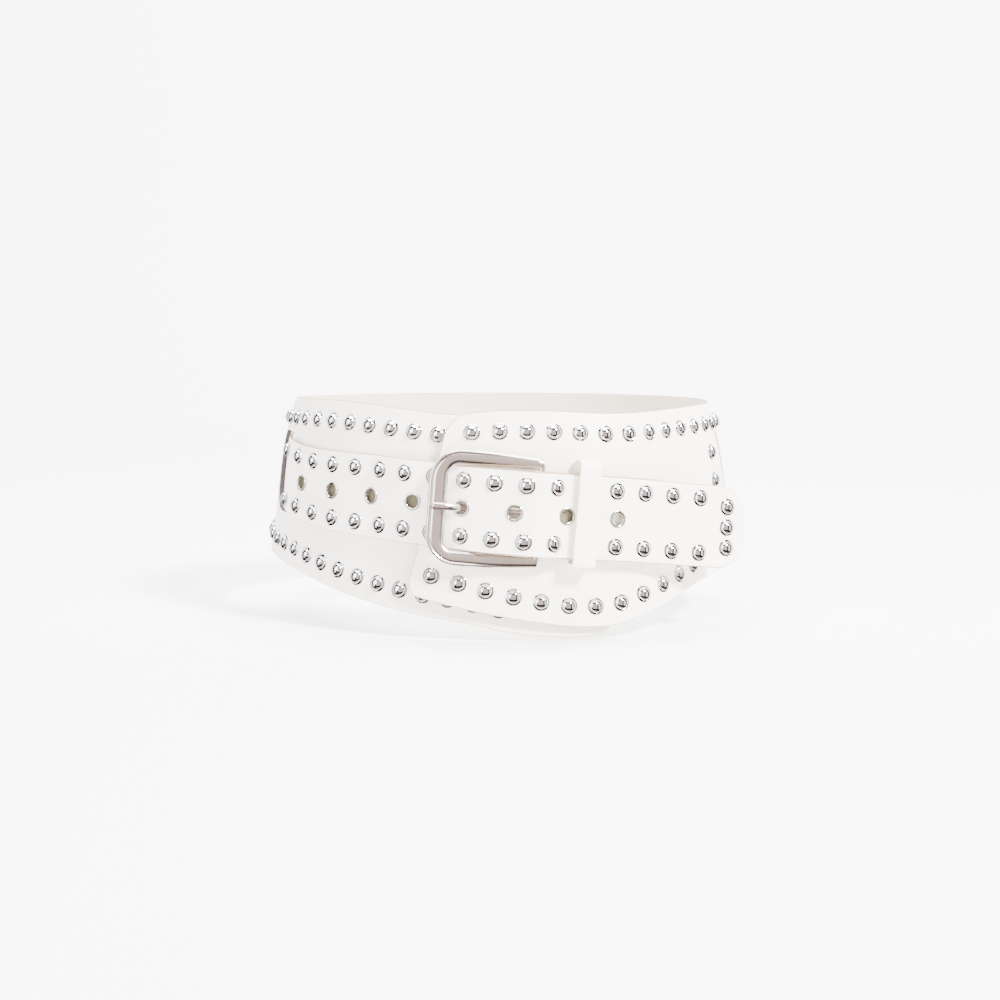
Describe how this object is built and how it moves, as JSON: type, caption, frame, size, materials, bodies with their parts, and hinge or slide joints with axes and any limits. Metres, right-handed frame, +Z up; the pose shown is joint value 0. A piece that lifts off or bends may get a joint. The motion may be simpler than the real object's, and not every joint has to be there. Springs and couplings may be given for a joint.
{
  "type": "studded waist belt",
  "caption": "Wide lapped leather waist belt with domed studs along its edges, and a narrower studded strap with eyelets, a D-shaped buckle, prong and keeper loop, shown fastened.",
  "frame": {"origin": "middle of the waist the belt goes round, at the height of the strap's lower half", "axes": "+Z up, the buckle at the front towards -Y, +X towards the free tip of the strap"},
  "size_m": [0.2406, 0.2066, 0.1086],
  "materials": {
    "ivory_leather": "smooth satin, faint grain",
    "stud_chrome": "polished",
    "eyelet_nickel": "polished nickel",
    "buckle_nickel": "satin nickel"
  },
  "bodies": {
    "root": {"wide_band": "ivory_leather", "belt_strap": "ivory_leather", "buckle_strap": "ivory_leather", "strap_keeper": "ivory_leather", "buckle_frame": "buckle_nickel", "buckle_prong": "buckle_nickel", "eyelet_1": "eyelet_nickel", "eyelet_2": "eyelet_nickel", "eyelet_3": "eyelet_nickel", "eyelet_4": "eyelet_nickel", "eyelet_5": "eyelet_nickel", "eyelet_6": "eyelet_nickel", "eyelet_7": "eyelet_nickel", "eyelet_8": "eyelet_nickel", "strap_stud_upper_1": "stud_chrome", "strap_stud_upper_2": "stud_chrome", "strap_stud_upper_3": "stud_chrome", "strap_stud_upper_4": "stud_chrome", "strap_stud_upper_5": "stud_chrome", "strap_stud_upper_6": "stud_chrome", "strap_stud_upper_7": "stud_chrome", "strap_stud_upper_8": "stud_chrome", "strap_stud_upper_9": "stud_chrome", "strap_stud_upper_10": "stud_chrome", "strap_stud_upper_11": "stud_chrome", "strap_stud_upper_12": "stud_chrome", "strap_stud_upper_13": "stud_chrome", "strap_stud_upper_14": "stud_chrome", "strap_stud_upper_15": "stud_chrome", "strap_stud_upper_16": "stud_chrome", "strap_stud_upper_17": "stud_chrome", "strap_stud_lower_1": "stud_chrome", "strap_stud_lower_2": "stud_chrome", "strap_stud_lower_3": "stud_chrome", "strap_stud_lower_4": "stud_chrome", "strap_stud_lower_5": "stud_chrome", "strap_stud_lower_6": "stud_chrome", "strap_stud_lower_7": "stud_chrome", "strap_stud_lower_8": "stud_chrome", "strap_stud_lower_9": "stud_chrome", "strap_stud_lower_10": "stud_chrome", "strap_stud_lower_11": "stud_chrome", "strap_stud_lower_12": "stud_chrome", "strap_stud_lower_13": "stud_chrome", "strap_stud_lower_14": "stud_chrome", "strap_stud_lower_15": "stud_chrome", "strap_stud_lower_16": "stud_chrome", "strap_stud_lower_17": "stud_chrome", "tip_stud_1": "stud_chrome", "tip_stud_2": "stud_chrome", "tip_stud_3": "stud_chrome"}
  },
  "joints": []
}
